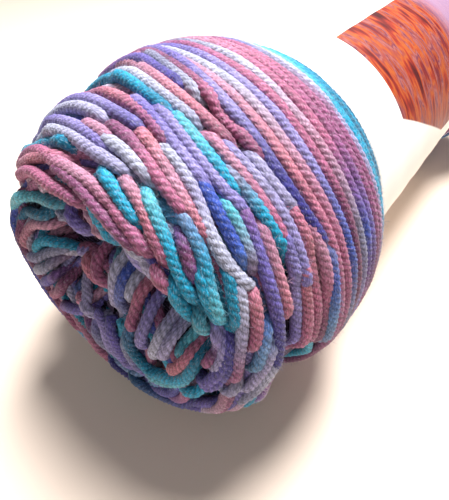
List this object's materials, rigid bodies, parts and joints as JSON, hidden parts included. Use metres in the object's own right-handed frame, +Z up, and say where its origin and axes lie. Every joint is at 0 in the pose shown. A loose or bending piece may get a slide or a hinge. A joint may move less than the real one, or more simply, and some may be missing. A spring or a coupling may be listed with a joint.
{
  "type": "skein of acrylic yarn",
  "caption": "Centre-pull skein of thick plied acrylic yarn in variegated turquoise, violet and rose, lying on its side in a paper band, with a squashed mouth at one end.",
  "frame": {"origin": "on the surface that the skein lies on, below the middle of its length and width", "axes": "+X along the skein from the end with the open mouth to the far end, +Z up, +Y to the left when looking along +X"},
  "size_m": [0.243, 0.1012, 0.0993],
  "materials": {
    "yarn": "plied acrylic yarn, space-dyed turquoise, violet, periwinkle, rose and pale lilac, soft and slightly fuzzy with a low sheen",
    "band": null
  },
  "bodies": {
    "root": {"yarn_skein": "yarn", "paper_band": "band"}
  },
  "joints": []
}
